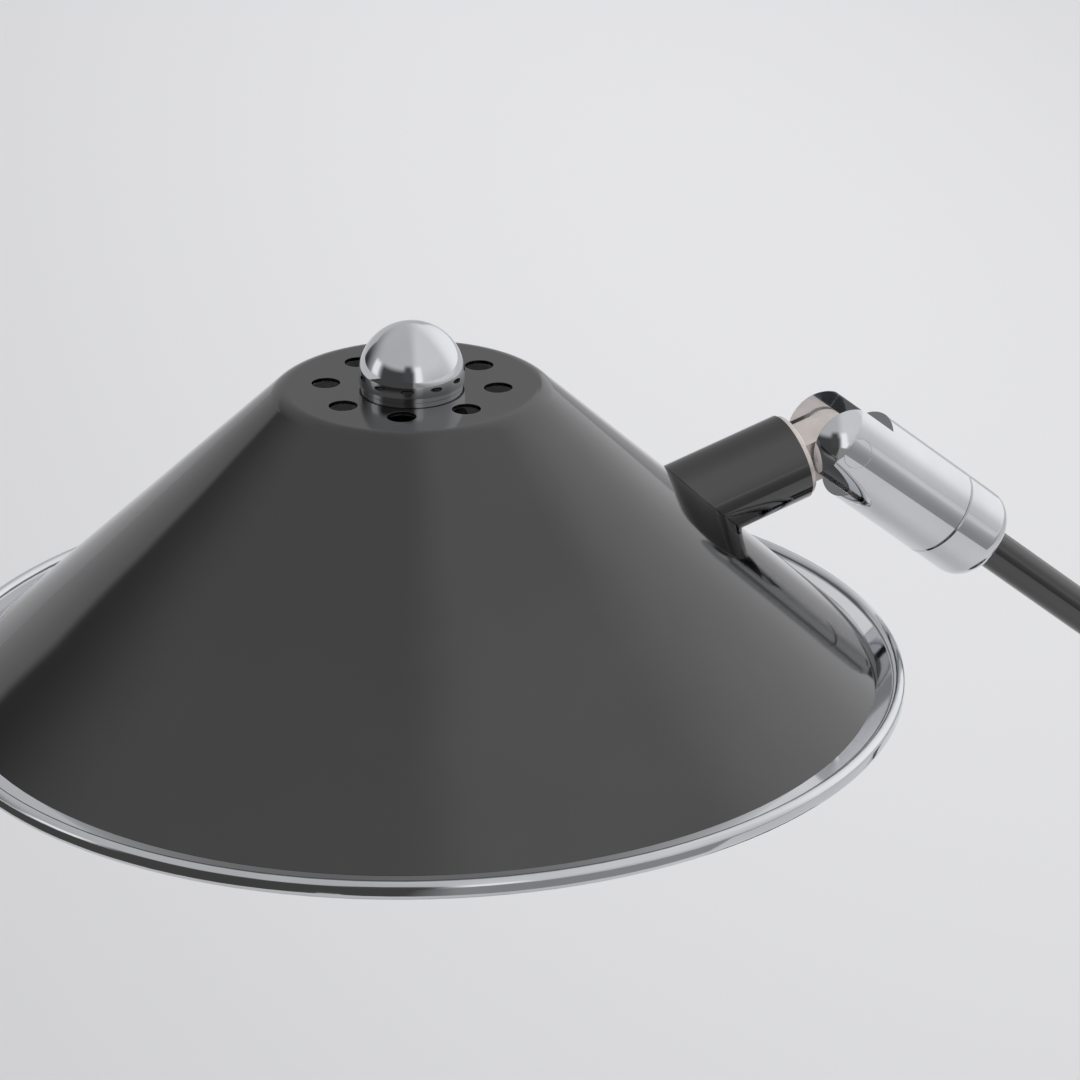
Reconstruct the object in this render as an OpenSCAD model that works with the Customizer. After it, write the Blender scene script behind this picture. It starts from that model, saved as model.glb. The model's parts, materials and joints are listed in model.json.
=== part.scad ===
// Articulated table lamp: a cone shade on a tilting and swivelling knuckle,
// a slanting arm, an upright stem and a round weighted base.
// The arm plane is XZ and the shade lies toward -X.
// The origin is the centre of the underside of the base.

/* [Shade] */
// Diameter of the cone at its lower edge
shade_d = 216.8; // [200:0.2:235]
// Height of the cone from its lower edge to its flat top
shade_h = 72; // [62:0.5:82]
// Diameter where the cone and the flat top would meet without the shoulder
top_d = 62; // [56:0.5:72]
// Outer radius of the shoulder between the cone and the top
shoulder_r = 6; // [3:0.5:9]
// Sheet thickness of the shade
shade_wall = 0.9; // [0.6:0.1:1.5]
// Number of vent holes in the top
vent_count = 8; // [4:1:10]
// Diameter of a vent hole
vent_d = 6.7; // [4:0.1:8]
// Diameter of the circle that the vent holes stand on
vent_ring_d = 40; // [37:0.5:44]
// Angle from the neck to the first vent hole
vent_turn = 15; // [0:1:45]

/* [Rim ring] */
// Width of the flange that shows outside the cone
flange_show = 3.5; // [2:0.1:6]
// Width of the flange under the edge of the cone
flange_under = 2.2; // [1:0.1:4]
// Sheet thickness of the flange
flange_t = 0.9; // [0.6:0.1:1.5]
// Width of the bead
bead_w = 3.1; // [2:0.1:5]
// Height of the bead
bead_h = 4.2; // [3:0.1:6]
// Height of the bead above the flange
bead_rise = 1.2; // [0.5:0.1:2]
// Corner radius of the bead
bead_r = 1.4; // [0.5:0.1:1.4]

/* [Finial] */
// Diameter of the finial ball
ball_d = 24.6; // [20:0.1:29]
// Height of the ball's centre above the top of the shade
ball_lift = 3; // [2:0.1:6]
// Diameter of the seat ring under the ball
seat_d = 23.6; // [16:0.2:24]
// Height of the seat ring
seat_h = 1.2; // [0.6:0.1:1.8]
// Diameter of the threaded stud through the top
stud_d = 6; // [4:0.5:8]
// Depth of the stud in the ball, from the seat ring
stud_grip = 9; // [6:0.5:10]
// Thickness of the washer under the top
washer_t = 1; // [0.6:0.1:2]
// Diameter of the washer under the top
washer_d = 18; // [14:0.5:24]
// Width across the flats of the stud nuts
stud_nut_af = 10; // [10:0.5:13]
// Thickness of a stud nut
stud_nut_t = 5; // [3:0.5:6]

/* [Lampholder and bulb] */
// Outer diameter of the lampholder body
holder_d = 24; // [20:0.5:30]
// Length of the lampholder body
holder_len = 20; // [16:0.5:22]
// Sheet thickness of the holder cup
cup_wall = 0.8; // [0.5:0.1:1.2]
// Height of the holder cup
cup_h = 11; // [8:0.5:14]
// Distance between the two pins of the bulb
pin_pitch = 9; // [8:0.5:11]
// Diameter of a bulb pin
bulb_pin_d = 1.2; // [0.8:0.1:1.6]
// Length of the bulb pins inside the holder
bulb_pin_len = 7; // [5:0.5:9]
// Width of the bulb's base
bulb_base_w = 15; // [13:0.5:18]
// Thickness of the bulb's base
bulb_base_t = 9; // [7:0.5:12]
// Height of the bulb's base
bulb_base_h = 8; // [6:0.5:10]
// Diameter of the glass capsule
capsule_d = 16; // [13:0.5:20]
// Length of the glass capsule below the bulb's base
capsule_len = 30; // [24:0.5:32]
// Glass thickness
glass_t = 0.9; // [0.6:0.1:1.5]

/* [Neck] */
// Outer diameter of the neck tube
neck_d = 21.4; // [19:0.1:22]
// Wall thickness of the neck tube
neck_wall = 1.2; // [0.8:0.1:2]
// Angle at which the neck rises away from the shade
neck_rise = 15; // [8:0.5:22]
// Distance of the neck's axis below the head pin
neck_drop = -0.7; // [-1:0.1:1]
// Distance from the mouth of the neck to the head pin
mouth_gap = 12.6; // [12.2:0.1:15]
// Distance from the shade's lower edge to the head pin, seen from above
pin_reach = 2.6; // [-3:0.1:9]
// Height of the head pin above the lower edge of the shade
head_rise = 39.8; // [36:0.1:45]

/* [Knuckles] */
// Diameter of the knuckles
knuckle_d = 23.2; // [22:0.1:26]
// Height of the pin above the knuckle's own axis
pin_lift = 0; // [0:0.1:0.6]
// Distance from the pin to the seam
seam_at = 36.8; // [32:0.2:44]
// Length of the cap behind the seam
cap_len = 16.1; // [15:0.1:22]
// Edge radius at the far end of the cap
cap_round = 5; // [2:0.1:6]
// Bevel on both sides of the seam
seam_bevel = 0.35; // [0.1:0.05:0.6]
// Thickness of a tongue
tongue_t = 12.2; // [11:0.1:12.6]
// Thickness of a friction washer
friction_t = 0.8; // [0.5:0.1:1]
// Distance from the pin to the bottom of the slot
slot_depth = 7.8; // [7.2:0.1:12]
// Radius of the tongue's eye
eye_r = 5.4; // [5:0.1:6.2]
// Diameter of the hinge pin's shank
pin_d = 5; // [4:0.1:5.4]
// Diameter of the flush heads of pin and nut
pin_head_d = 7.4; // [6.6:0.1:8]
// Depth of the pin in the nut
nut_grip = 1.7; // [1.2:0.1:1.9]
// Distance of the seats of pin and nut from the middle of the knuckle
spot_at = 8.8; // [8.6:0.1:9.1]
// Diameter of the wire way at the bottom of the slot
way_d = 8.2; // [7:0.1:8.2]
// Thickness of the clevis wall at the seam
seam_wall = 6; // [4:0.1:8]
// Diameter of the hollow spindle's shank
spindle_d = 6.4; // [5.4:0.1:6.6]
// Bore of the hollow spindle
spindle_bore = 4; // [2:0.1:4.4]
// Diameter of the bores that let the wires pass under the eye of a tongue
wire_d = 3; // [2:0.1:3.4]
// Thickness of the spindle's head
spindle_head_t = 3; // [2:0.1:5]

/* [Arm and stem] */
// Distance between the head pin and the elbow pin
arm_len = 267; // [240:1:300]
// Angle at which the arm falls from the head to the elbow
arm_fall = 39.8; // [32:0.1:48]
// Outer diameter of the arm tube
arm_d = 10; // [8:0.1:12]
// Wall thickness of the arm tube
arm_wall = 1.2; // [0.8:0.1:2]
// Depth of the arm tube in its cap and in its foot
arm_grip = 10; // [6:0.5:11]
// Diameter of the socket at the foot of the arm
socket_d = 17; // [15:0.1:19]
// Length of that socket
socket_len = 24; // [18:0.5:30]
// Distance from that socket to the elbow pin
socket_gap = 12.4; // [12.2:0.1:15]
// Edge radius of that socket
socket_round = 2.5; // [1:0.1:3]
// Height of the elbow pin
elbow_h = 215; // [190:1:250]
// Outer diameter of the stem tube
stem_d = 14; // [12:0.1:16]
// Wall thickness of the stem tube
stem_wall = 1.3; // [1:0.1:2]

/* [Base] */
// Outer diameter of the base shell
base_d = 180; // [170:1:200]
// Height of the top of the base
base_h = 22; // [20:0.5:28]
// Sheet thickness of the base shell
base_wall = 1.2; // [0.8:0.1:2]
// Edge radius of the base shell
base_round = 5; // [2:0.5:8]
// Margin between the cast weight and the outside of the base shell
weight_margin = 6.5; // [6.5:0.1:12]
// Thickness of the bottom plate
plate_t = 1.5; // [1:0.1:2.5]
// Thickness of the rubber pad
pad_t = 2; // [1:0.1:3]
// Width of the pad's margin inside the bottom plate
pad_margin = 4; // [2:0.5:8]
// Diameter of the bottom screws' heads
screw_head_d = 7.4; // [6:0.1:9]
// Diameter of the bottom screws' shanks
screw_d = 4; // [3:0.1:4.5]
// Length of the bottom screws
screw_len = 12; // [8:0.5:14]
// Number of bottom screws
screw_count = 3; // [3:1:6]
// Diameter of the circle that the bottom screws stand on
screw_ring_d = 130; // [116:1:134]

/* [Collar] */
// Diameter of the collar's flange
collar_flange_d = 34; // [30:0.5:40]
// Height of the collar's flange
collar_flange_h = 3; // [2:0.1:5]
// Diameter of the collar
collar_d = 24; // [21:0.5:28]
// Height of the collar above the base
collar_h = 26; // [20:0.5:34]
// Diameter of the collar's threaded shank
shank_d = 16; // [14:0.5:18]
// Diameter of the spindle at the foot of the stem
foot_spindle_d = 9; // [7:0.1:10]
// Depth of the stem tube in the collar
stem_grip = 20; // [14:0.5:24]
// Width across the flats of the collar nut
collar_nut_af = 24; // [22:0.5:28]
// Thickness of the collar nut
collar_nut_t = 4; // [3:0.1:5]

/* [Switch and cord inlet] */
// Distance of the switch from the middle of the base
switch_reach = 58; // [52:1:64]
// Direction of the switch from the middle of the base
switch_turn = -60; // [-80:1:-40]
// Diameter of the switch button
button_d = 15; // [12:0.1:18]
// Height of the button above its bezel
button_rise = 3.6; // [3:0.1:5]
// Travel of the button
button_travel = 2.4; // [1:0.1:2.6]
// Width of the bezel's ring
bezel_w = 2.6; // [1.5:0.1:4]
// Height of the bezel above the base
bezel_h = 1.8; // [1:0.1:3]
// Bore of the cord gland
gland_bore = 6.4; // [5:0.1:7]
// Outer diameter of the cord gland's neck
gland_d = 9; // [8.4:0.1:10]
// Diameter of the cord gland's flange
gland_flange_d = 11.6; // [11:0.1:12]
// Thickness of the cord gland's flange
gland_flange_t = 2; // [1:0.1:3]

/* [Hidden] */
$fn = 96;

// Overrun of every cut past the face that it opens
cut = 1;
// Radial clearance of pins and spindles that turn
turn_clear = 0.05;
// Axial clearance between faces that turn on each other
face_clear = 0.1;
// Radial clearance of threads and of pieces that are pushed together
fit_clear = 0.03;
// Segments in a quarter of a rounded edge
quarter_steps = 8;
// Fillet on small turned edges
small_round = 0.6;

// Knuckle sizes that follow from the ones above
knuckle_r = knuckle_d / 2;
slot_w = tongue_t + 2 * friction_t + 2 * face_clear;
// Extra radius of the ball-shaped end, which leaves a fine crease
end_crease = 0.4;
end_ball_r = knuckle_r + end_crease;
// Height of the outside where the pin comes out of it
pin_top = sqrt(knuckle_r * knuckle_r - pin_lift * pin_lift);
way_end = seam_at - seam_wall;
spindle_len = seam_wall + cap_len - arm_grip - face_clear;
// Width, length and depth of the cross recess in the pin's head
recess_w = 1.1;
recess_span = 4.4;
recess_depth = 1.6;

// Places of the pins and of the shade
arm_drop = arm_len * sin(arm_fall);
arm_run = arm_len * cos(arm_fall);
head_pin_x = pin_lift - arm_run + pin_lift * sin(arm_fall);
head_pin_z = elbow_h + arm_drop + pin_lift * cos(arm_fall);
head_reach = shade_d / 2 + pin_reach;
shade_x = head_pin_x - head_reach;
shade_z = head_pin_z - head_rise;

// Shade sizes that follow from the ones above
shade_r = shade_d / 2;
top_r = top_d / 2;
cone_angle = atan2(shade_h, shade_r - top_r);
// Height of the underside of the top
under_top = shade_h - shade_wall;
flange_in_r = shade_r - flange_under;
bead_in_r = shade_r + flange_show;
nut_top = under_top - washer_t;
cup_top = nut_top - stud_nut_t;
holder_top = cup_top - cup_wall;
holder_foot = holder_top - holder_len;
stud_foot = holder_top - stud_nut_t - washer_t;
neck_run = head_reach / 2;
// Share of the eye's radius at which the tongue's sides leave it
eye_side_share = 0.94;
// Thickness of the flange in the neck's mouth, and its margin inside the tube
mouth_flange_t = 1.4;
mouth_margin = 0.6;
// Length of the plug behind that flange
mouth_plug_len = 7;

// Base sizes that follow from the ones above
base_r = base_d / 2;
plate_r = base_r - base_wall - turn_clear;
weight_foot = pad_t + plate_t;
foot_flange_t = 1;
shell_foot = weight_foot + foot_flange_t;
under_base_top = base_h - base_wall;
weight_r = base_r - weight_margin;
foot_bead_w = 3.2;
foot_bead_h = 4.2;
foot_bead_r = 1.4;
// Height of the hollow in the weight that takes the nuts
nut_hollow_h = 10;
nut_hollow_d = 36;
collar_nut_top = weight_foot + nut_hollow_h;
shank_foot = collar_nut_top - collar_nut_t - 1.5 * small_round;
thrust_t = 1.2;
stem_foot = base_h + collar_h - stem_grip;
thrust_foot = stem_foot - thrust_t - face_clear;
lock_nut_t = 3;
lock_nut_top = shank_foot - face_clear;
lock_nut_af = 15;
stem_plug_len = 12;
stem_top = elbow_h - seam_at - cap_len + arm_grip;

// Switch sizes that follow from the ones above
switch_x = switch_reach * cos(switch_turn);
switch_y = switch_reach * sin(switch_turn);
button_clear = 0.1;
bezel_shank_wall = 1;
bezel_shank_h = 5;
// Angle that the bezel's rounded flank turns through
bezel_sweep = 70;
switch_body_d = 20;
switch_body_h = 8;
switch_body_top = under_base_top - bezel_shank_h;
plunger_d = 5;
switch_hollow_d = 26;
gland_z = shell_foot + (under_base_top - shell_foot) / 2;
gland_inner_x = weight_r - 4 * small_round;
// Distance of the flat that the cord gland's flange rests on
gland_flat_x = sqrt(base_r * base_r - gland_flange_d * gland_flange_d / 4);
channel_w = 12;

// Points of an arc round (cx, cy), from angle a0 to a1
function arc(cx, cy, r, a0, a1, steps) =
    [for (i = [0:steps]) let (a = a0 + (a1 - a0) * i / steps) [cx + r * cos(a), cy + r * sin(a)]];

// Outline of the cone from its lower edge to the middle, set in by an inset
function cone_profile(inset) =
    let (
        r = max(shoulder_r - inset, small_round),
        shift = inset / sin(cone_angle),
        foot_r = shade_r - shift,
        corner_r = top_r - inset * tan(cone_angle / 2),
        run = r * tan(cone_angle / 2),
        cx = corner_r - run,
        cy = shade_h - inset - r
    )
    concat([[foot_r, 0]], arc(cx, cy, r, 90 - cone_angle, 90, quarter_steps), [[0, shade_h - inset]]);

// Outline of a tall bead with round corners, from x0 and z0
function bead_profile(x0, z0, w, h, r) = concat(
    arc(x0 + w - r, z0 + r, r, -90, 0, quarter_steps),
    arc(x0 + w - r, z0 + h - r, r, 0, 90, quarter_steps),
    arc(x0 + r, z0 + h - r, r, 90, 180, quarter_steps),
    arc(x0 + r, z0 + r, r, 180, 270, quarter_steps)
);

module rod_x(r, h) {
    rotate([0, 90, 0])
        cylinder(r = r, h = h);
}

module rod_y(r, h) {
    rotate([90, 0, 0])
        cylinder(r = r, h = h, center = true);
}

// Ring from one radius to another, standing on the height z
module ring(outer_r, inner_r, z, h) {
    translate([0, 0, z])
        difference() {
            cylinder(r = outer_r, h = h);
            translate([0, 0, -cut])
                cylinder(r = inner_r, h = h + 2 * cut);
        }
}

module turned_x(points) {
    rotate([0, 90, 0])
        rotate_extrude()
            polygon(points);
}

module hex_nut(af, bore_r, z, h) {
    translate([0, 0, z])
        difference() {
            cylinder(r = af / sqrt(3), h = h, $fn = 6);
            translate([0, 0, -cut])
                cylinder(r = bore_r, h = h + 2 * cut);
        }
}

module at_shade() {
    translate([shade_x, 0, shade_z])
        children();
}

// Head pin at the origin, +x out of the neck
module at_neck() {
    translate([head_pin_x, 0, head_pin_z])
        rotate([0, -neck_rise, 0])
            children();
}

// Head pin at the origin, +x down the arm
module at_arm() {
    translate([head_pin_x, 0, head_pin_z])
        rotate([0, arm_fall, 0])
            children();
}

// Elbow pin at the origin, +x down the stem
module at_stem_clevis() {
    translate([pin_lift, 0, elbow_h])
        rotate([0, 90, 0])
            children();
}

// Axis of a knuckle, in the frame of its pin
module on_axis() {
    translate([0, 0, -pin_lift])
        children();
}

module at_switch() {
    translate([switch_x, switch_y, 0])
        children();
}

// Solid that fills the outside of the cone, set in by an inset
module cone_solid(inset) {
    rotate_extrude($fn = 180)
        polygon(concat([[0, 0]], cone_profile(inset)));
}

// Outside of a clevis: a cylinder with a ball-shaped end
module knuckle_outside() {
    start = -end_ball_r - cut;
    on_axis()
        difference() {
            turned_x([
                [0, start],
                [knuckle_r, start],
                [knuckle_r, seam_at - seam_bevel - face_clear],
                [knuckle_r - seam_bevel, seam_at - face_clear],
                [0, seam_at - face_clear]
            ]);
            difference() {
                translate([start - cut, -knuckle_r - cut, -knuckle_r - cut])
                    cube([cut - start, knuckle_d + 2 * cut, knuckle_d + 2 * cut]);
                sphere(r = end_ball_r);
            }
        }
}

// Clevis with its pin at the origin and its body toward +x
module clevis() {
    difference() {
        knuckle_outside();
        clevis_slot();
        rod_y(pin_d / 2 + turn_clear, knuckle_d + cut);
        for (side = [-1, 1])
            pin_seat(side, pin_head_d / 2 + fit_clear);
        on_axis() {
            translate([slot_depth - cut, 0, 0])
                rod_x(way_d / 2, way_end - slot_depth + cut);
            translate([way_end - cut, 0, 0])
                rod_x(spindle_d / 2 + turn_clear, seam_wall + 2 * cut);
        }
    }
}

module clevis_slot() {
    on_axis()
        translate([-end_ball_r - 2 * cut, -slot_w / 2, -knuckle_r - cut])
            cube([end_ball_r + 2 * cut + slot_depth, slot_w, knuckle_d + 2 * cut]);
}

// Round from the seat of a flush head out past the knuckle, on one side
module pin_seat(side, r) {
    translate([0, side * (spot_at + knuckle_r), 0])
        rod_y(r, knuckle_d);
}

// Cap behind the seam, in the clevis frame, with a bore for a tube
module knuckle_cap(tube_d) {
    end = seam_at + cap_len;
    on_axis()
        turned_x(concat(
            [
                [spindle_d / 2 + fit_clear, seam_at],
                [knuckle_r - seam_bevel, seam_at],
                [knuckle_r, seam_at + seam_bevel]
            ],
            arc(knuckle_r - cap_round, end - cap_round, cap_round, 0, 90, quarter_steps),
            [
                [tube_d / 2 + fit_clear, end],
                [tube_d / 2 + fit_clear, end - arm_grip],
                [spindle_d / 2 + fit_clear, end - arm_grip]
            ]
        ));
}

// Hollow screw from the wire way through the seam into the cap
module spindle() {
    head_at = way_end - spindle_head_t - face_clear;
    on_axis()
        turned_x([
            [spindle_bore / 2, head_at],
            [way_d / 2 - turn_clear - face_clear, head_at],
            [way_d / 2 - turn_clear - face_clear, way_end - face_clear],
            [spindle_d / 2, way_end - face_clear],
            [spindle_d / 2, way_end + spindle_len],
            [spindle_bore / 2, way_end + spindle_len]
        ]);
}

// Two friction washers, one on each side of the tongue
module friction_washers() {
    for (side = [-1, 1])
        rotate([-90 * side, 0, 0])
            ring(eye_r - small_round, pin_d / 2 + fit_clear, slot_w / 2 - friction_t, friction_t);
}

// Head in its seat on one side, flush with the ball-shaped end
module flush_head(side) {
    intersection() {
        pin_seat(side, pin_head_d / 2);
        knuckle_outside();
    }
}

// Screw with its flush head on the +Y side and its shank into the nut
module hinge_pin() {
    shank_len = 2 * spot_at + nut_grip - face_clear + small_round;
    difference() {
        flush_head(1);
        driver_recess();
    }
    translate([0, spot_at + small_round - shank_len / 2, 0])
        rod_y(pin_d / 2, shank_len);
}

// Cross recess in the head of the pin
module driver_recess() {
    for (turn = [0, 90])
        rotate([0, turn, 0])
            translate([-recess_span / 2, pin_top - recess_depth, -recess_w / 2])
                cube([recess_span, recess_depth + cut, recess_w]);
}

// Nut on the -Y side, with the hole that takes the end of the pin
module hinge_nut() {
    difference() {
        flush_head(-1);
        rod_y(pin_d / 2 + fit_clear, 2 * (spot_at + nut_grip));
    }
}

// Tongue with its eye on the pin, toward -x as far as its root
module tongue(root_at) {
    side = eye_r * eye_side_share;
    difference() {
        union() {
            rod_y(eye_r, tongue_t);
            rotate([90, 0, 0])
                linear_extrude(height = tongue_t, center = true)
                    polygon([[0, side], [-root_at, side], [-root_at, -side], [0, -side]]);
        }
        rod_y(pin_d / 2 + turn_clear, tongue_t + 2 * cut);
    }
}

module base_pad() {
    color("#202122")
        difference() {
            cylinder(r = plate_r - pad_margin, h = pad_t);
            screw_places()
                translate([0, 0, -cut])
                    cylinder(d = screw_head_d + 2 * small_round, h = pad_t + 2 * cut);
        }
}

module screw_places() {
    for (i = [0:screw_count - 1])
        rotate([0, 0, 360 * i / screw_count])
            translate([screw_ring_d / 2, 0, 0])
                children();
}

// Cone of a screw's head with its widest side down at z = pad_t
module screw_cone(extra) {
    cylinder(r1 = screw_head_d / 2 + extra, r2 = screw_d / 2 + extra, h = plate_t);
}

module base_plate() {
    color("#6a6c6e")
        difference() {
            translate([0, 0, pad_t])
                cylinder(r = plate_r, h = plate_t);
            screw_places()
                translate([0, 0, pad_t])
                    screw_cone(fit_clear);
        }
}

module base_screws() {
    color("#b9bcc0")
        screw_places()
            difference() {
                union() {
                    translate([0, 0, pad_t])
                        screw_cone(0);
                    translate([0, 0, pad_t + plate_t])
                        cylinder(d = screw_d, h = screw_len - plate_t);
                }
                translate([-screw_head_d / 2, -small_round / 2, pad_t - cut])
                    cube([screw_head_d, small_round, cut + plate_t / 2]);
            }
}

module base_weight() {
    color("#3b3c3e")
        difference() {
            translate([0, 0, weight_foot])
                cylinder(r = weight_r, h = under_base_top - weight_foot);
            translate([0, 0, weight_foot - cut])
                cylinder(d = shank_d + 2 * small_round, h = base_h);
            translate([0, 0, weight_foot - cut])
                cylinder(d = nut_hollow_d, h = nut_hollow_h + cut);
            screw_places()
                translate([0, 0, weight_foot - cut])
                    cylinder(d = screw_d + 2 * fit_clear, h = cut + screw_len - plate_t + small_round);
            at_switch()
                translate([0, 0, weight_foot - cut])
                    cylinder(d = switch_hollow_d, h = base_h);
            wire_channel();
        }
}

// Channels in the underside of the weight for the wires
module wire_channel() {
    channel_h = gland_z + channel_w / 2 - weight_foot;
    translate([0, -channel_w / 2, weight_foot - cut])
        cube([base_r, channel_w, channel_h + cut]);
    rotate([0, 0, switch_turn])
        translate([0, -channel_w / 4, weight_foot - cut])
            cube([switch_reach, channel_w / 2, nut_hollow_h + cut]);
}

module base_ring() {
    color("#d3d6da")
        union() {
            ring(base_r + foot_bead_w / 2, weight_r + small_round, weight_foot, foot_flange_t);
            rotate_extrude($fn = 180)
                polygon(bead_profile(base_r + fit_clear, pad_t, foot_bead_w, foot_bead_h, foot_bead_r));
        }
}

module base_shell() {
    edge = base_round - base_wall;
    color("#4a4a4d")
        difference() {
            rotate_extrude($fn = 180)
                polygon(concat(
                    [[base_r - base_wall, shell_foot], [base_r, shell_foot]],
                    arc(base_r - base_round, base_h - base_round, base_round, 0, 90, quarter_steps),
                    [[0, base_h], [0, under_base_top]],
                    arc(base_r - base_round, base_h - base_round, edge, 90, 0, quarter_steps)
                ));
            translate([0, 0, under_base_top - cut])
                cylinder(d = shank_d + 2 * fit_clear, h = base_wall + 2 * cut);
            at_switch()
                translate([0, 0, under_base_top - cut])
                    cylinder(d = button_d + 2 * button_clear + 2 * bezel_shank_wall + 2 * fit_clear,
                        h = base_wall + 2 * cut);
            translate([gland_flat_x, -gland_flange_d, shell_foot - cut])
                cube([base_round, 2 * gland_flange_d, base_h]);
            translate([base_r - base_round, 0, gland_z])
                rod_x(gland_d / 2 + fit_clear, base_round + cut);
        }
}

// Bush in the side of the shell, with its flange on the shell's flat
module cord_gland() {
    lip_r = gland_flange_d / 2;
    end = gland_flat_x + gland_flange_t;
    color("#1c1d1e")
        translate([0, 0, gland_z])
            turned_x(concat(
                [
                    [gland_bore / 2, gland_inner_x],
                    [gland_d / 2, gland_inner_x],
                    [gland_d / 2, gland_flat_x],
                    [lip_r, gland_flat_x]
                ],
                arc(lip_r - small_round, end - small_round, small_round, 0, 90, quarter_steps),
                [[gland_bore / 2, end]]
            ));
}

module switch_bezel() {
    hole_r = button_d / 2 + button_clear;
    out_r = hole_r + bezel_w;
    top = base_h + bezel_h;
    color("#d3d6da")
        at_switch()
            rotate_extrude()
                polygon(concat(
                    [
                        [hole_r, under_base_top - bezel_shank_h],
                        [hole_r + bezel_shank_wall, under_base_top - bezel_shank_h],
                        [hole_r + bezel_shank_wall, base_h],
                        [out_r, base_h]
                    ],
                    arc(out_r - bezel_h, base_h, bezel_h, 0, bezel_sweep, quarter_steps),
                    [[hole_r + small_round, top], [hole_r, top - small_round]]
                ));
}

module switch_body() {
    foot = switch_body_top - switch_body_h;
    color("#232425")
        at_switch()
            difference() {
                translate([0, 0, foot])
                    cylinder(d = switch_body_d, h = switch_body_h);
                translate([0, 0, foot + plate_t])
                    cylinder(d = plunger_d + 2 * button_clear, h = switch_body_h);
            }
}

module switch_button() {
    top = base_h + bezel_h + button_rise;
    foot = switch_body_top + button_travel + button_clear;
    color("#dfe1e4")
        at_switch() {
            translate([0, 0, foot])
                rotate_extrude()
                    polygon(concat(
                        [[0, 0], [button_d / 2, 0]],
                        arc(button_d / 2 - small_round, top - foot - small_round, small_round, 0, 90,
                            quarter_steps),
                        [[0, top - foot]]
                    ));
            translate([0, 0, switch_body_top - switch_body_h / 2])
                cylinder(d = plunger_d, h = switch_body_h / 2 + button_travel + button_clear);
        }
}

module stem_collar() {
    bore_r = stem_d / 2 + turn_clear;
    neck_round = collar_flange_h;
    top = base_h + collar_h;
    color("#d3d6da")
        rotate_extrude()
            polygon(concat(
                [
                    [foot_spindle_d / 2 + turn_clear, shank_foot],
                    [shank_d / 2, shank_foot],
                    [shank_d / 2, base_h],
                    [collar_flange_d / 2, base_h]
                ],
                arc(collar_flange_d / 2 - small_round, base_h + collar_flange_h - small_round,
                    small_round, 0, 90, quarter_steps),
                arc(collar_d / 2 + neck_round, base_h + collar_flange_h + neck_round, neck_round,
                    270, 180, quarter_steps),
                arc(collar_d / 2 - small_round, top - small_round, small_round, 0, 90, quarter_steps),
                [
                    [bore_r, top],
                    [bore_r, thrust_foot],
                    [foot_spindle_d / 2 + turn_clear, thrust_foot]
                ]
            ));
}

module collar_nut() {
    color("#b59b5a")
        hex_nut(collar_nut_af, shank_d / 2 + fit_clear, collar_nut_top - collar_nut_t, collar_nut_t);
}

module thrust_washer() {
    color("#e8e6df")
        ring(stem_d / 2, foot_spindle_d / 2 + turn_clear, thrust_foot, thrust_t);
}

module stem_tube() {
    color("#4a4a4d")
        ring(stem_d / 2, stem_d / 2 - stem_wall, stem_foot, stem_top - stem_foot);
}

// Plug in the foot of the stem, with the spindle that turns in the collar
module stem_spindle() {
    foot = lock_nut_top - lock_nut_t - small_round;
    color("#b59b5a")
        rotate_extrude()
            polygon([
                [spindle_bore / 2, foot],
                [foot_spindle_d / 2, foot],
                [foot_spindle_d / 2, stem_foot],
                [stem_d / 2 - stem_wall - fit_clear, stem_foot],
                [stem_d / 2 - stem_wall - fit_clear, stem_foot + stem_plug_len],
                [spindle_bore / 2, stem_foot + stem_plug_len]
            ]);
}

module stem_lock_nut() {
    color("#b59b5a")
        hex_nut(lock_nut_af, foot_spindle_d / 2 + fit_clear, lock_nut_top - lock_nut_t, lock_nut_t);
}

module elbow_cap() {
    color("#d3d6da")
        at_stem_clevis()
            knuckle_cap(stem_d);
}

module elbow_spindle() {
    color("#b59b5a")
        at_stem_clevis()
            spindle();
}

module elbow_clevis() {
    color("#d3d6da")
        at_stem_clevis()
            clevis();
}

module elbow_washers() {
    color("#e8e6df")
        at_stem_clevis()
            friction_washers();
}

module elbow_pin() {
    color("#d3d6da")
        at_stem_clevis()
            hinge_pin();
}

module elbow_nut() {
    color("#d3d6da")
        at_stem_clevis()
            hinge_nut();
}

// Socket for the arm tube with the tongue that enters the elbow
module arm_foot() {
    end = arm_len - socket_gap;
    start = end - socket_len;
    tube_r = arm_d / 2 + fit_clear;
    socket_r = socket_d / 2;
    bore_run = socket_len - arm_grip + socket_gap;
    color("#d3d6da")
        at_arm()
            on_axis()
                difference() {
                    union() {
                        turned_x(concat(
                            [[0, start + arm_grip], [tube_r, start + arm_grip], [tube_r, start]],
                            arc(socket_r - socket_round, start + socket_round, socket_round, 270, 360,
                                quarter_steps),
                            arc(socket_r - small_round, end - small_round, small_round, 0, 90,
                                quarter_steps),
                            [[0, end]]
                        ));
                        translate([arm_len, 0, 0])
                            tongue(socket_gap + small_round);
                    }
                    translate([start + arm_grip, 0, 0])
                        rotate([0, atan2(eye_r, bore_run), 0])
                            translate([-cut, 0, 0])
                                rod_x(wire_d / 2, norm([bore_run, eye_r]) + eye_r + cut);
                }
}

module arm_tube() {
    start = seam_at + cap_len - arm_grip;
    end = arm_len - socket_gap - socket_len + arm_grip;
    color("#4a4a4d")
        at_arm()
            on_axis()
                rotate([0, 90, 0])
                    ring(arm_d / 2, arm_d / 2 - arm_wall, start, end - start);
}

module head_cap() {
    color("#d3d6da")
        at_arm()
            knuckle_cap(arm_d);
}

module head_spindle() {
    color("#b59b5a")
        at_arm()
            spindle();
}

module head_clevis() {
    color("#d3d6da")
        at_arm()
            clevis();
}

module head_washers() {
    color("#e8e6df")
        at_arm()
            friction_washers();
}

module head_pin() {
    color("#d3d6da")
        at_arm()
            hinge_pin();
}

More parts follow.
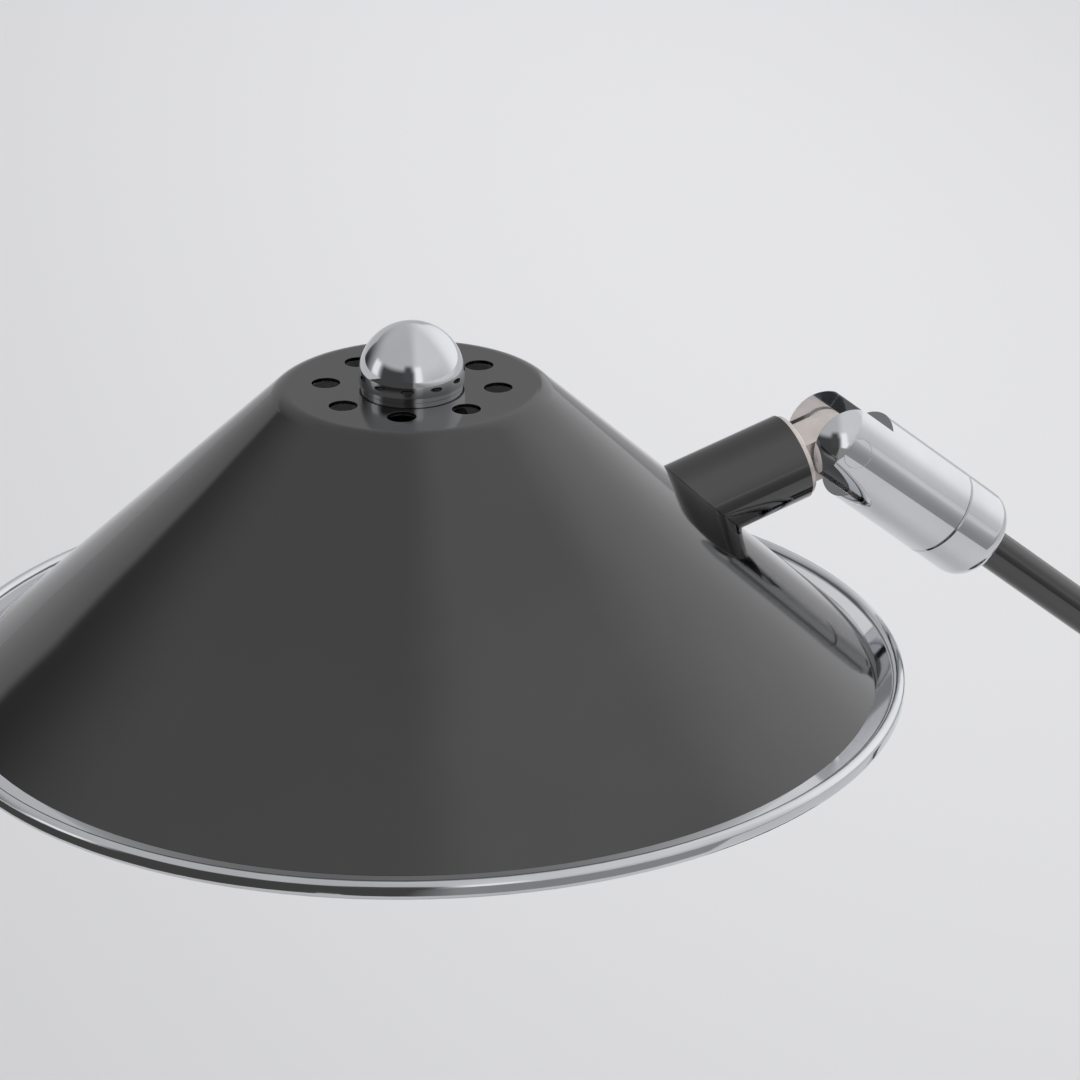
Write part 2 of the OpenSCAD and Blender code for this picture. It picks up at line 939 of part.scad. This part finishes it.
module head_nut() {
    color("#d3d6da")
        at_arm()
            hinge_nut();
}

// Flange and plug in the mouth of the neck, with the tongue on the head pin
module head_tongue() {
    mouth = -mouth_gap;
    plug_r = neck_d / 2 - neck_wall - fit_clear;
    color("#d9d4d0")
        at_neck()
            difference() {
                union() {
                    translate([0, 0, -neck_drop])
                        turned_x([
                            [0, mouth - mouth_plug_len],
                            [plug_r, mouth - mouth_plug_len],
                            [plug_r, mouth],
                            [neck_d / 2 - mouth_margin, mouth],
                            [neck_d / 2 - mouth_margin, mouth + mouth_flange_t - small_round / 2],
                            [neck_d / 2 - mouth_margin - small_round / 2, mouth + mouth_flange_t],
                            [0, mouth + mouth_flange_t]
                        ]);
                    tongue(mouth_gap);
                }
                translate([mouth - mouth_plug_len - cut, 0, -eye_r])
                    rod_x(wire_d / 2, mouth_gap + mouth_plug_len + eye_r + cut);
            }
}

// Tube from the side of the cone to the mouth
module neck_tube() {
    color("#4a4a4d")
        difference() {
            at_neck()
                translate([-mouth_gap - neck_run, 0, -neck_drop])
                    difference() {
                        rod_x(neck_d / 2, neck_run);
                        translate([-cut, 0, 0])
                            rod_x(neck_d / 2 - neck_wall, neck_run + 2 * cut);
                    }
            at_shade()
                cone_solid(0);
        }
}

module shade() {
    color("#4a4a4d")
        difference() {
            at_shade()
                difference() {
                    cone_solid(0);
                    translate([0, 0, -cut / 2])
                        cone_hollow();
                    translate([0, 0, under_top - cut])
                        cylinder(d = stud_d + 2 * turn_clear, h = shade_wall + 2 * cut);
                    vents();
                }
            at_neck()
                translate([-mouth_gap - neck_run, 0, -neck_drop])
                    rod_x(way_d / 2, neck_run);
        }
}

// Hollow of the cone, run past the lower edge along the same slope
module cone_hollow() {
    inner = cone_profile(shade_wall);
    foot = inner[0];
    spread = cut / 2 / tan(cone_angle);
    translate([0, 0, cut / 2])
        rotate_extrude($fn = 180)
            polygon(concat([[0, -cut / 2], [foot[0] + spread, -cut / 2]], inner));
}

module vents() {
    for (i = [0:vent_count - 1])
        rotate([0, 0, vent_turn + 360 * i / vent_count])
            translate([vent_ring_d / 2, 0, under_top - cut])
                cylinder(d = vent_d, h = shade_wall + 2 * cut);
}

// Ring with a flange under the cone's edge and a bead that stands round it
module rim_ring() {
    bead_foot = bead_rise - bead_h;
    color("#d3d6da")
        at_shade()
            union() {
                ring(bead_in_r + bead_w / 2, flange_in_r, -flange_t, flange_t);
                rotate_extrude($fn = 180)
                    polygon(bead_profile(bead_in_r, bead_foot, bead_w, bead_h, bead_r));
            }
}

module finial_ball() {
    color("#d3d6da")
        at_shade()
            difference() {
                translate([0, 0, shade_h + ball_lift])
                    sphere(d = ball_d);
                translate([-ball_d, -ball_d, shade_h + seat_h - ball_d])
                    cube([2 * ball_d, 2 * ball_d, ball_d]);
                translate([0, 0, shade_h])
                    cylinder(d = stud_d + 2 * fit_clear, h = seat_h + stud_grip);
            }
}

module finial_seat() {
    color("#d3d6da")
        at_shade()
            ring(seat_d / 2, stud_d / 2 + fit_clear, shade_h, seat_h);
}

module top_stud() {
    color("#b59b5a")
        at_shade()
            translate([0, 0, stud_foot])
                cylinder(d = stud_d, h = shade_h + seat_h + stud_grip - stud_foot);
}

module shade_washer() {
    color("#b9bcc0")
        at_shade()
            ring(washer_d / 2, stud_d / 2 + fit_clear, nut_top, washer_t);
}

module stud_nuts() {
    color("#b9bcc0")
        at_shade()
            for (top = [nut_top, holder_top])
                hex_nut(stud_nut_af, stud_d / 2 + fit_clear, top - stud_nut_t, stud_nut_t);
}

module holder_cup() {
    inner_r = holder_d / 2 + fit_clear;
    color("#b9bcc0")
        at_shade()
            rotate_extrude()
                polygon([
                    [stud_d / 2 + fit_clear, cup_top],
                    [inner_r + cup_wall - small_round, cup_top],
                    [inner_r + cup_wall, cup_top - small_round],
                    [inner_r + cup_wall, cup_top - cup_h],
                    [inner_r, cup_top - cup_h],
                    [inner_r, holder_top],
                    [stud_d / 2 + fit_clear, holder_top]
                ]);
}

module lampholder() {
    nut_room_r = stud_nut_af / sqrt(3) + small_round;
    nut_room_h = stud_nut_t + 2 * washer_t;
    slot_l = 2.4 * bulb_pin_d;
    slot_t = 1.6 * bulb_pin_d;
    color("#e9e7e2")
        at_shade()
            difference() {
                translate([0, 0, holder_foot])
                    cylinder(d = holder_d, h = holder_len);
                translate([0, 0, holder_top - nut_room_h])
                    cylinder(r = nut_room_r, h = nut_room_h + cut);
                for (side = [-1, 1])
                    translate([-slot_t / 2, side * pin_pitch / 2 - slot_l / 2, holder_foot - cut])
                        cube([slot_t, slot_l, bulb_pin_len + cut + small_round]);
            }
}

// Base of the bulb, with its two pins up in the holder
module bulb_base() {
    foot = holder_foot - bulb_base_h;
    flat_w = bulb_base_w - bulb_base_t;
    color("#e9e7e2")
        at_shade() {
            translate([-bulb_base_t / 2, -flat_w / 2, foot])
                cube([bulb_base_t, flat_w, bulb_base_h]);
            for (side = [-1, 1])
                translate([0, side * flat_w / 2, foot])
                    cylinder(d = bulb_base_t, h = bulb_base_h);
            for (side = [-1, 1])
                translate([0, side * pin_pitch / 2, holder_foot - bulb_base_h / 2])
                    cylinder(d = bulb_pin_d, h = bulb_base_h / 2 + bulb_pin_len);
        }
}

// Glass capsule with a round end, closed over the foot of the bulb's base
module bulb_capsule() {
    top = holder_foot - bulb_base_h;
    r = capsule_d / 2;
    inner = r - glass_t;
    centre_z = top - capsule_len + r;
    color("#f4f2ea")
        at_shade()
            rotate_extrude()
                polygon(concat(
                    [[0, top], [0, top - glass_t], [inner, top - glass_t]],
                    arc(0, centre_z, inner, 0, -90, 2 * quarter_steps),
                    arc(0, centre_z, r, -90, 0, 2 * quarter_steps),
                    [[r, top]]
                ));
}

base_pad();
base_plate();
base_weight();
base_ring();
base_shell();
base_screws();
cord_gland();
switch_bezel();
switch_body();
switch_button();
stem_collar();
collar_nut();
thrust_washer();
stem_tube();
stem_spindle();
stem_lock_nut();
elbow_cap();
elbow_spindle();
elbow_clevis();
elbow_washers();
elbow_pin();
elbow_nut();
arm_foot();
arm_tube();
head_cap();
head_spindle();
head_clevis();
head_washers();
head_pin();
head_nut();
head_tongue();
neck_tube();
shade();
rim_ring();
finial_ball();
finial_seat();
top_stud();
shade_washer();
stud_nuts();
holder_cup();
lampholder();
bulb_base();
bulb_capsule();
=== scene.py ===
"""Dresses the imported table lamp: finishes, fine detail, a plain studio and the photograph's camera."""

import json
import math
from collections import defaultdict

import bpy
from mathutils import Matrix, Vector


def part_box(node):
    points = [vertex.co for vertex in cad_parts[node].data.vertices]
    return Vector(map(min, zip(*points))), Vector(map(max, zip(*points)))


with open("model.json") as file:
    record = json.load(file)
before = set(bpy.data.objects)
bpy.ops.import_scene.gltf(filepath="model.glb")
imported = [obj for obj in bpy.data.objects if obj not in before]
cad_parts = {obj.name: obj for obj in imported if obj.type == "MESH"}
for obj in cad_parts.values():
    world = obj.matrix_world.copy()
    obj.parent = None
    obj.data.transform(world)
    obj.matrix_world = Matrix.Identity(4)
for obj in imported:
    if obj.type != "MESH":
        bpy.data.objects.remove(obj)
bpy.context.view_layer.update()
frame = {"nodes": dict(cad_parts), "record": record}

MM = 0.001

# Faces that meet at less than this angle are shaded as one, and points nearer than WELD count as one
SMOOTH_ANGLE = math.radians(26)
WELD = 0.001 * MM
# Faces of the shade whose normal leans down by more than this are on its inner side
INNER_SLOPE = 0.05

# The photograph's camera, counted from the middle of the shade's lower edge
CAMERA_REACH = 1077.6 * MM
CAMERA_RISE = 484.1 * MM
CAMERA_AZIMUTH = math.radians(-113.0)
CAMERA_YAW = math.radians(1.556)
CAMERA_PITCH = math.radians(22.719)
CAMERA_ROLL = math.radians(-0.438)
SENSOR = 36.0
FOCAL_PIXELS = 5000
PHOTO_PIXELS = 1080
CLIP_START = 0.05
CLIP_END = 100

# Plated pieces under the shade's top, which get a dark brown painted shade where the vents show them
PAINTED_SHADE_PIECES = ("holder_cup", "shade_washer", "stud_nuts")

# Colours, as linear values, each with the dim tone that its smudges or uneven places have
BLACK_CHROME = (0.121, 0.120, 0.119, 1)
BLACK_CHROME_DIM = (0.110, 0.109, 0.108, 1)
CHROME = (0.80, 0.81, 0.825, 1)
CHROME_DIM = (0.72, 0.73, 0.745, 1)
NICKEL = (0.82, 0.745, 0.70, 1)
NICKEL_DIM = (0.71, 0.64, 0.60, 1)
BRASS = (0.70, 0.53, 0.24, 1)
BRASS_DIM = (0.52, 0.38, 0.17, 1)
ZINC = (0.60, 0.62, 0.64, 1)
ZINC_DIM = (0.48, 0.50, 0.52, 1)
# Dark brown painted shade for the plated pieces under the shade's top
PAINTED_SHADE = (0.13, 0.105, 0.08, 1)
PAINTED_SHADE_DIM = (0.05, 0.04, 0.032, 1)
NYLON = (0.80, 0.79, 0.75, 1)
NYLON_DIM = (0.72, 0.71, 0.67, 1)
CERAMIC = (0.82, 0.81, 0.78, 1)
CERAMIC_DIM = (0.76, 0.75, 0.71, 1)
CAST = (0.050, 0.050, 0.054, 1)
CAST_DIM = (0.028, 0.028, 0.030, 1)
RUBBER = (0.020, 0.020, 0.021, 1)
RUBBER_DIM = (0.032, 0.032, 0.033, 1)
PLASTIC = (0.022, 0.022, 0.024, 1)
PLASTIC_DIM = (0.034, 0.034, 0.036, 1)
INSIDE = (0.030, 0.027, 0.024, 1)
INSIDE_DIM = (0.018, 0.016, 0.014, 1)
GLASS = (0.93, 0.925, 0.90, 1)
GLASS_DIM = (0.88, 0.87, 0.84, 1)

# Where a noise's soft middle begins and ends
NOISE_SPAN = (0.35, 0.65)
EDGE_SAMPLES = 4
METAL_EDGE = 0.15 * MM
MOULDED_EDGE = 0.2 * MM
TONE_SCALE = 60
COAT_ROUGHNESS = 0.06
GLASS_IOR = 1.46
GLASS_CLEARNESS = 0.75
GLASS_ROUGHNESS = (0.28, 0.42)
GLASS_CLOUD_SCALE = 40
GLASS_FROST_SCALE = 900
GLASS_FROST_HEIGHT = 0.01 * MM

# The studio's light, as the bright metal shows it. Places are azimuth and elevation in degrees. A span says
# how far a direction points toward its place where the light starts to change, and where it is full.
ROOM_TINT = (0.985, 0.992, 1.015, 1)
LEFT_LEVEL = 0.50
RIGHT_LEVEL = 0.69
RIGHT_SIDE = (-20, 0)
RIGHT_SPAN = (-0.10, 0.22)
BIG_LAMP_LEVEL = 1.0
BIG_LAMP = (20, 15)
BIG_LAMP_SPAN = (0.669, 1.0)
# The studio's patches: azimuth and elevation in degrees, each from and to, then the softness of the edges in
# degrees and the level of light. Later patches lie over earlier ones.
ROOM = {
    "wall beside the window": (-86, -28, -60, 12, 44, 0.52),
    "window": (-105, -90, -34, 32, 9, 1.0),
    "dim room behind the camera": (-186, -108, -60, 24, 14, 0.06),
    "camera": (-130, -112, 0, 34, 12, 0.07),
    "dark screen on the left": (96, 142, -60, 26, 44, 0.04),
    "pale screen behind": (56, 108, -30, 22, 4, 0.50),
    "lamp on the left": (150, 168, 0, 24, 8, 0.95),
}
SUN_POWER = 1.365
SUN_SPREAD = math.radians(50)

FLOOR = (0.775, 0.773, 0.780, 1)
FLOOR_EDGE = (0.55, 0.548, 0.555, 1)
FLOOR_HALF = 30.0
FLOOR_ROUGHNESS = 0.85
FLOOR_SHINE = 0.2
# The oval pool of light on the floor: its middle, its reach along and across, and its turn
POOL = (0.347, 1.149, 0)
POOL_REACH = (0.836, 2.47, 1)
POOL_TURN = math.radians(-15.6)

# Painted shade of the dim room, on sheets over the floor that only metal shows: in front of FAR_FROM, and to
# the left of FAR_LEFT up to
# FAR_LEFT_END. The painted shade grows paler along DIM_LINE, from the first distance of DIM_SPAN to the second.
# Between the shares of that way in DIM_ENDS it keeps its middle tone.
PAINTED_SHADE_FLOOR = (0.27, 0.267, 0.27, 1)
PAINTED_SHADE_FLOOR_PALE = (0.64, 0.635, 0.64, 1)
PAINTED_SHADE_FLOOR_DIM = (0.06, 0.058, 0.056, 1)
SHADE_SHEET_ROUGHNESS = 0.9
SHADE_SHEET_LIFT = 3 * MM
FAR_FROM = -0.55
FAR_LEFT = -0.85
FAR_LEFT_END = 1.1
DIM_LINE = (1, -0.364, 0)
DIM_SPAN = (-0.40, 3.4)
DIM_ENDS = (0.042, 0.24)


class Nodes:
    """A material's node tree, with short calls for the nodes used here."""

    def __init__(self, name):
        self.material = bpy.data.materials.new(name)
        self.material.use_nodes = True
        self.tree = self.material.node_tree
        self.shader = self.tree.nodes["Principled BSDF"]
        self.place = self.add("ShaderNodeTexCoord").outputs["Object"]

    def add(self, kind, **values):
        node = self.tree.nodes.new(kind)
        for key, value in values.items():
            setattr(node, key, value)
        return node

    def link(self, source, target):
        self.tree.links.new(source, target)

    def noise(self, scale, detail, rough=0.55, stretch=None):
        node = self.add("ShaderNodeTexNoise")
        node.inputs["Scale"].default_value = scale
        node.inputs["Detail"].default_value = detail
        node.inputs["Roughness"].default_value = rough
        source = self.place
        if stretch:
            mapping = self.add("ShaderNodeMapping")
            mapping.inputs["Scale"].default_value = stretch
            self.link(self.place, mapping.inputs["Vector"])
            source = mapping.outputs["Vector"]
        self.link(source, node.inputs["Vector"])
        return node.outputs["Fac"]

    def span(self, value, low, high, reach=NOISE_SPAN, soft=False):
        """The value's way from reach[0] to reach[1], as a number from low to high."""
        node = self.add("ShaderNodeMapRange", interpolation_type="SMOOTHSTEP" if soft else "LINEAR")
        node.inputs["From Min"].default_value = reach[0]
        node.inputs["From Max"].default_value = reach[1]
        node.inputs["To Min"].default_value = low
        node.inputs["To Max"].default_value = high
        self.link(value, node.inputs["Value"])
        return node.outputs["Result"]

    def blend(self, value, first, second, reach=NOISE_SPAN, between=()):
        """The value's way from reach[0] to reach[1], as a colour, with more colours at positions between."""
        ramp = self.add("ShaderNodeValToRGB")
        stops = ramp.color_ramp.elements
        for stop, position, colour in zip(stops, reach, (first, second)):
            stop.position = position
            stop.color = colour
        for position, colour in between:
            stops.new(position).color = colour
        self.link(value, ramp.inputs["Fac"])
        return ramp.outputs["Color"]

    def bump(self, value, height, under=None):
        node = self.add("ShaderNodeBump")
        node.inputs["Distance"].default_value = height
        self.link(value, node.inputs["Height"])
        if under:
            self.link(under, node.inputs["Normal"])
        return node.outputs["Normal"]

    def soft_edges(self, radius):
        node = self.add("ShaderNodeBevel", samples=EDGE_SAMPLES)
        node.inputs["Radius"].default_value = radius
        return node.outputs["Normal"]

    def set(self, socket, value):
        """Gives a socket of the shader a number, or links it to another node's output."""
        if isinstance(value, (int, float)):
            self.shader.inputs[socket].default_value = value
        else:
            self.link(value, self.shader.inputs[socket])


def metal(name, colour, dim, rough, smudge_scale, grain=None, metallic=1.0):
    """Plated or turned metal: smudges in its gloss, a fine grain (scale, height, stretch) and soft edges."""
    n = Nodes(name)
    smudges = n.noise(smudge_scale, detail=4)
    normal = n.soft_edges(METAL_EDGE)
    if grain:
        scale, height, stretch = grain
        normal = n.bump(n.noise(scale, detail=2, stretch=stretch), height, under=normal)
    n.set("Metallic", metallic)
    n.set("Base Color", n.blend(smudges, dim, colour))
    n.set("Roughness", n.span(smudges, rough[1], rough[0]))
    n.set("Normal", normal)
    return n.material


def moulded(name, colour, dim, rough, grain, coat=0.0, shine=0.5):
    """Moulded, cast or glazed stuff: uneven tone, a grain (scale, height) in its surface, soft edges."""
    n = Nodes(name)
    scale, height = grain
    grains = n.noise(scale, detail=6, rough=0.6)
    n.set("Base Color", n.blend(n.noise(TONE_SCALE, detail=5), dim, colour))
    n.set("Roughness", n.span(grains, rough[0], rough[1]))
    n.set("Normal", n.bump(grains, height, under=n.soft_edges(MOULDED_EDGE)))
    n.set("Specular IOR Level", shine)
    if coat:
        n.set("Coat Weight", coat)
        n.set("Coat Roughness", COAT_ROUGHNESS)
    return n.material


def frosted_glass(name):
    n = Nodes(name)
    cloud = n.noise(GLASS_CLOUD_SCALE, detail=3)
    n.set("IOR", GLASS_IOR)
    n.set("Transmission Weight", GLASS_CLEARNESS)
    n.set("Base Color", n.blend(cloud, GLASS_DIM, GLASS))
    n.set("Roughness", n.span(cloud, *GLASS_ROUGHNESS))
    n.set("Normal", n.bump(n.noise(GLASS_FROST_SCALE, detail=5), GLASS_FROST_HEIGHT))
    return n.material


MATERIALS = {
    "black_chrome": metal("black_chrome", BLACK_CHROME, BLACK_CHROME_DIM, rough=(0.05, 0.075), smudge_scale=14),
    "polished_chrome": metal("polished_chrome", CHROME, CHROME_DIM, rough=(0.03, 0.06), smudge_scale=30),
    "satin_nickel": metal("satin_nickel", NICKEL, NICKEL_DIM, rough=(0.26, 0.38), smudge_scale=90,
                          grain=(800, 0.004 * MM, (1, 1, 8)), metallic=0.65),
    "plain_brass": metal("plain_brass", BRASS, BRASS_DIM, rough=(0.22, 0.36), smudge_scale=60,
                         grain=(500, 0.006 * MM, (1, 1, 12))),
    "zinc_steel": metal("zinc_steel", ZINC, ZINC_DIM, rough=(0.28, 0.42), smudge_scale=50,
                        grain=(700, 0.006 * MM, (1, 1, 1))),
    "white_nylon": moulded("white_nylon", NYLON, NYLON_DIM, rough=(0.38, 0.5), grain=(700, 0.01 * MM)),
    "white_ceramic": moulded("white_ceramic", CERAMIC, CERAMIC_DIM, rough=(0.2, 0.34), grain=(420, 0.02 * MM),
                             coat=0.4),
    "bulb_glass": frosted_glass("bulb_glass"),
    "cast_weight": moulded("cast_weight", CAST, CAST_DIM, rough=(0.6, 0.8), grain=(600, 0.12 * MM)),
    "pad_rubber": moulded("pad_rubber", RUBBER, RUBBER_DIM, rough=(0.7, 0.85), grain=(1400, 0.05 * MM)),
    "black_plastic": moulded("black_plastic", PLASTIC, PLASTIC_DIM, rough=(0.4, 0.55), grain=(1500, 0.02 * MM)),
}


def smooth(piece):
    """Smooth normals across all faces that meet at less than SMOOTH_ANGLE, also where the mesh is split."""
    mesh = piece.data
    faces = mesh.polygons
    least = math.cos(SMOOTH_ANGLE)
    place = [tuple(round(c / WELD) for c in v.co) for v in mesh.vertices]
    meeting = defaultdict(list)
    for face in faces:
        for vertex in face.vertices:
            meeting[place[vertex]].append(face.index)
    normals = [None] * len(mesh.loops)
    for face in faces:
        for corner in face.loop_indices:
            total = Vector()
            for other in meeting[place[mesh.loops[corner].vertex_index]]:
                if faces[other].normal.dot(face.normal) > least:
                    total += faces[other].normal * faces[other].area
            normals[corner] = total.normalized() if total.length else Vector((0, 0, 1))
    mesh.polygons.foreach_set("use_smooth", [True] * len(faces))
    mesh.normals_split_custom_set(normals)


def dress_nodes():
    """Gives each CAD node the material of its slot, and smooth normals."""
    nodes = frame["nodes"]
    slots = {s["node"]: s["material_slot"] for s in frame["record"]["subparts"]}
    for name, piece in nodes.items():
        piece.data.materials.clear()
        piece.data.materials.append(MATERIALS[slots[name]])
        smooth(piece)
    line_shade(nodes["shade"])
    # The plated pieces under the shade's top get a dark brown painted shade
    shade_painted = metal("zinc_painted_shade", PAINTED_SHADE, PAINTED_SHADE_DIM, rough=(0.36, 0.5), smudge_scale=120,
                    grain=(700, 0.01 * MM, (1, 1, 1)))
    for name in PAINTED_SHADE_PIECES:
        nodes[name].data.materials[0] = shade_painted


def line_shade(shade):
    """A dark colour on the shade's inner side, which faces down."""
    shade.data.materials.append(moulded("dark_inside", INSIDE, INSIDE_DIM, rough=(0.6, 0.78),
                                        grain=(900, 0.03 * MM), shine=0.15))
    for face in shade.data.polygons:
        face.material_index = 1 if face.normal.z < -INNER_SLOPE else 0


def shade_foot():
    """The middle of the shade's lower edge."""
    low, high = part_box("shade")
    return Vector(((low.x + high.x) / 2, 0, low.z))


def make_camera():
    data = bpy.data.cameras.new("camera")
    data.sensor_width = SENSOR
    data.lens = SENSOR * FOCAL_PIXELS / PHOTO_PIXELS
    data.clip_start = CLIP_START
    data.clip_end = CLIP_END
    camera = bpy.data.objects.new("camera", data)
    bpy.context.scene.collection.objects.link(camera)
    bpy.context.scene.camera = camera
    outward = Vector((math.cos(CAMERA_AZIMUTH), math.sin(CAMERA_AZIMUTH), 0))
    camera.location = shade_foot() + outward * CAMERA_REACH + Vector((0, 0, CAMERA_RISE))
    heading = CAMERA_AZIMUTH + math.pi - CAMERA_YAW
    flat = Vector((math.cos(heading), math.sin(heading), 0))
    forward = flat * math.cos(CAMERA_PITCH) - Vector((0, 0, math.sin(CAMERA_PITCH)))
    level = flat.cross(Vector((0, 0, 1)))
    up = level.cross(forward)
    right = level * math.cos(CAMERA_ROLL) + up * math.sin(CAMERA_ROLL)
    top = up * math.cos(CAMERA_ROLL) - level * math.sin(CAMERA_ROLL)
    camera.rotation_mode = "QUATERNION"
    camera.rotation_quaternion = Matrix((right, top, -forward)).transposed().to_quaternion()


def sheet(name, x_span, y_span, height, material):
    """A flat sheet that belongs to the studio."""
    (x0, x1), (y0, y1) = x_span, y_span
    corners = [(x0, y0, height), (x1, y0, height), (x1, y1, height), (x0, y1, height)]
    mesh = bpy.data.meshes.new(name)
    mesh.from_pydata(corners, [], [(0, 1, 2, 3)])
    mesh.materials.append(material)
    piece = bpy.data.objects.new(name, mesh)
    bpy.context.scene.collection.objects.link(piece)
    return piece


def make_floor():
    """Pale floor with a wide oval pool of light."""
    n = Nodes("studio_floor")
    oval = n.add("ShaderNodeMapping", vector_type="TEXTURE")
    oval.inputs["Location"].default_value = POOL
    oval.inputs["Rotation"].default_value = (0, 0, POOL_TURN)
    oval.inputs["Scale"].default_value = POOL_REACH
    n.link(n.place, oval.inputs["Vector"])
    away = n.add("ShaderNodeVectorMath", operation="LENGTH")
    n.link(oval.outputs["Vector"], away.inputs[0])
    pool = n.span(away.outputs["Value"], 0, 1, reach=(0, 1), soft=True)
    n.set("Base Color", n.blend(pool, FLOOR, FLOOR_EDGE, reach=(0, 1)))
    n.set("Roughness", FLOOR_ROUGHNESS)
    n.set("Specular IOR Level", FLOOR_SHINE)
    whole = (-FLOOR_HALF, FLOOR_HALF)
    sheet("floor", whole, whole, 0, n.material)


def make_painted_shade_sheets():
    """Sheets of dark painted shade on the floor, in front and on the left, which only metal shows."""
    n = Nodes("studio_painted_shade_sheet")
    past = n.add("ShaderNodeVectorMath", operation="DOT_PRODUCT")
    past.inputs[1].default_value = DIM_LINE
    n.link(n.place, past.inputs[0])
    along = n.span(past.outputs["Value"], 0, 1, reach=DIM_SPAN)
    # Painted shade: darkest in front, paler along DIM_LINE
    n.set("Base Color", n.blend(along, PAINTED_SHADE_FLOOR_DIM, PAINTED_SHADE_FLOOR_PALE, reach=(0, 1),
                                between=[(end, PAINTED_SHADE_FLOOR) for end in DIM_ENDS]))
    n.set("Roughness", SHADE_SHEET_ROUGHNESS)
    n.set("Specular IOR Level", 0)
    for name, x_span, y_span in (("floor_edge", (-FLOOR_HALF, FLOOR_HALF), (-FLOOR_HALF, FAR_FROM)),
                                 ("floor_edge_left", (-FLOOR_HALF, FAR_LEFT), (FAR_FROM, FAR_LEFT_END))):
        edge = sheet(name, x_span, y_span, SHADE_SHEET_LIFT, n.material)
        for ray in ("camera", "diffuse", "shadow", "transmission"):
            setattr(edge, "visible_" + ray, False)


def make_world():
    """A plain studio: a pale ceiling, brighter to the right, a big soft lamp there, and ROOM's patches."""
    world = bpy.data.worlds.new("studio")
    bpy.context.scene.world = world
    world.use_nodes = True
    tree = world.node_tree
    tree.nodes.clear()
    link = tree.links.new

    def add(kind, **values):
        node = tree.nodes.new(kind)
        for key, value in values.items():
            setattr(node, key, value)
        return node

    def maths(operation, *values):
        node = add("ShaderNodeMath", operation=operation)
        for socket, value in zip(node.inputs, values):
            if isinstance(value, (int, float)):
                socket.default_value = value
            else:
                link(value, socket)
        return node.outputs["Value"]

    def ease(value, start, end, low, high):
        node = add("ShaderNodeMapRange", interpolation_type="SMOOTHSTEP")
        for key, number in (("From Min", start), ("From Max", end), ("To Min", low), ("To Max", high)):
            node.inputs[key].default_value = number
        link(value, node.inputs["Value"])
        return node.outputs["Result"]

    def toward(place):
        """How far a direction points toward a place given by azimuth and elevation."""
        azimuth, height = (math.radians(v) for v in place)
        flat = math.cos(height)
        node = add("ShaderNodeVectorMath", operation="DOT_PRODUCT")
        node.inputs[1].default_value = (math.cos(azimuth) * flat, math.sin(azimuth) * flat, math.sin(height))
        link(direction, node.inputs[0])
        return node.outputs["Value"]

    def mixed(mask, level, light):
        """The level, and the light where the mask is 1."""
        node = add("ShaderNodeMix", data_type="FLOAT")
        factor, _, under, over = list(node.inputs)[:4]
        link(mask, factor)
        link(level, under)
        over.default_value = light
        return node.outputs[0]

    direction = add("ShaderNodeTexCoord").outputs["Generated"]
    split = add("ShaderNodeSeparateXYZ")
    link(direction, split.inputs["Vector"])
    elevation = maths("ARCSINE", split.outputs["Z"])
    level = ease(toward(RIGHT_SIDE), *RIGHT_SPAN, LEFT_LEVEL, RIGHT_LEVEL)
    level = mixed(ease(toward(BIG_LAMP), *BIG_LAMP_SPAN, 0, 1), level, BIG_LAMP_LEVEL)
    for az0, az1, el0, el1, soft, light in ROOM.values():
        turn = add("ShaderNodeVectorRotate", rotation_type="Z_AXIS")
        turn.inputs["Angle"].default_value = math.radians(-(az0 + az1) / 2)
        link(direction, turn.inputs["Vector"])
        local = add("ShaderNodeSeparateXYZ")
        link(turn.outputs["Vector"], local.inputs["Vector"])
        across = maths("ABSOLUTE", maths("ARCTAN2", local.outputs["Y"], local.outputs["X"]))
        along = maths("ABSOLUTE", maths("SUBTRACT", elevation, math.radians((el0 + el1) / 2)))
        parts = [ease(distance, math.radians(half - soft / 2), math.radians(half + soft / 2), 1, 0)
                 for distance, half in ((across, (az1 - az0) / 2), (along, (el1 - el0) / 2))]
        level = mixed(maths("MULTIPLY", *parts), level, light)

    room = add("ShaderNodeBackground")
    room.inputs["Color"].default_value = ROOM_TINT
    link(level, room.inputs["Strength"])
    seen = add("ShaderNodeBackground")
    seen.inputs["Color"].default_value = FLOOR_EDGE
    mix = add("ShaderNodeMixShader")
    factor, elsewhere, to_camera = mix.inputs
    link(add("ShaderNodeLightPath").outputs["Is Camera Ray"], factor)
    link(room.outputs["Background"], elsewhere)
    link(seen.outputs["Background"], to_camera)
    link(mix.outputs["Shader"], add("ShaderNodeOutputWorld").inputs["Surface"])


def make_sun():
    """Soft light from above for the floor, which the bright metal doesn't mirror."""
    data = bpy.data.lights.new("overhead", "SUN")
    data.energy = SUN_POWER
    data.angle = SUN_SPREAD
    light = bpy.data.objects.new("overhead", data)
    light.visible_glossy = False
    bpy.context.scene.collection.objects.link(light)


dress_nodes()
make_camera()
make_floor()
make_painted_shade_sheets()
make_world()
make_sun()
bpy.context.scene.view_settings.view_transform = "Standard"
